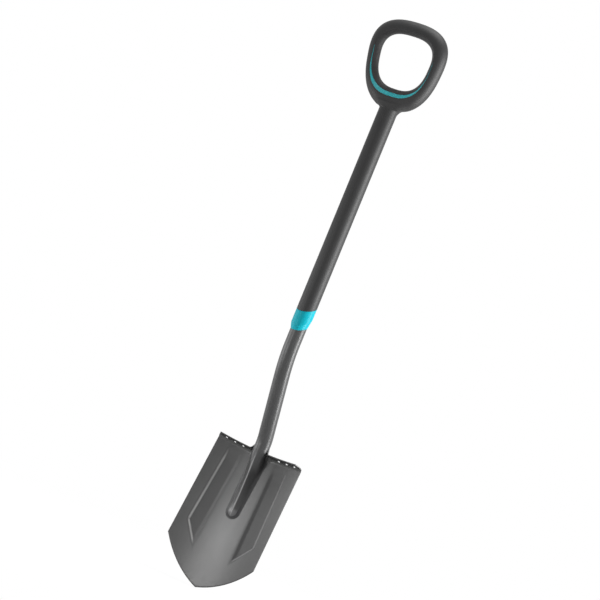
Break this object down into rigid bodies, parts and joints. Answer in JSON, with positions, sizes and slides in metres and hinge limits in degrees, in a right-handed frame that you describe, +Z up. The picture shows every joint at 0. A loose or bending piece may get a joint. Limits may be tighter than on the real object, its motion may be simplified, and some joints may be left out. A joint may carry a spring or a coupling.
{
  "type": "transplanting spade",
  "caption": "Garden spade with a narrow dished pointed blade, folded treads, a cranked steel tube shaft with a plastic sleeve, and a closed D-shaped handle.",
  "frame": {"origin": "on the ground under the middle of the spade's bounding box, the blade's tip on z = 0", "axes": "+X across the blade, -Y the front of the blade, +Z up along the straight shaft"},
  "size_m": [0.198, 0.1138, 1.1611],
  "materials": {
    "blade_steel": "graphite coated sheet steel, satin",
    "tube_steel": "graphite coated steel tube, satin metallic",
    "turquoise_plastic": "turquoise moulded plastic, semi-gloss",
    "charcoal_plastic": "charcoal moulded plastic, matte with a fine grain",
    "liner_plastic": "charcoal moulded plastic, matte",
    "pin_steel": "plain steel pin, hidden under the sleeve"
  },
  "bodies": {
    "root": {"blade": "blade_steel", "shaft_tube": "tube_steel", "socket_weld": "tube_steel", "ferrule": "turquoise_plastic", "shaft_sleeve": "charcoal_plastic", "handle_frame": "charcoal_plastic", "handle_liner": "liner_plastic", "handle_inlay": "turquoise_plastic", "handle_pin": "pin_steel"}
  },
  "joints": []
}
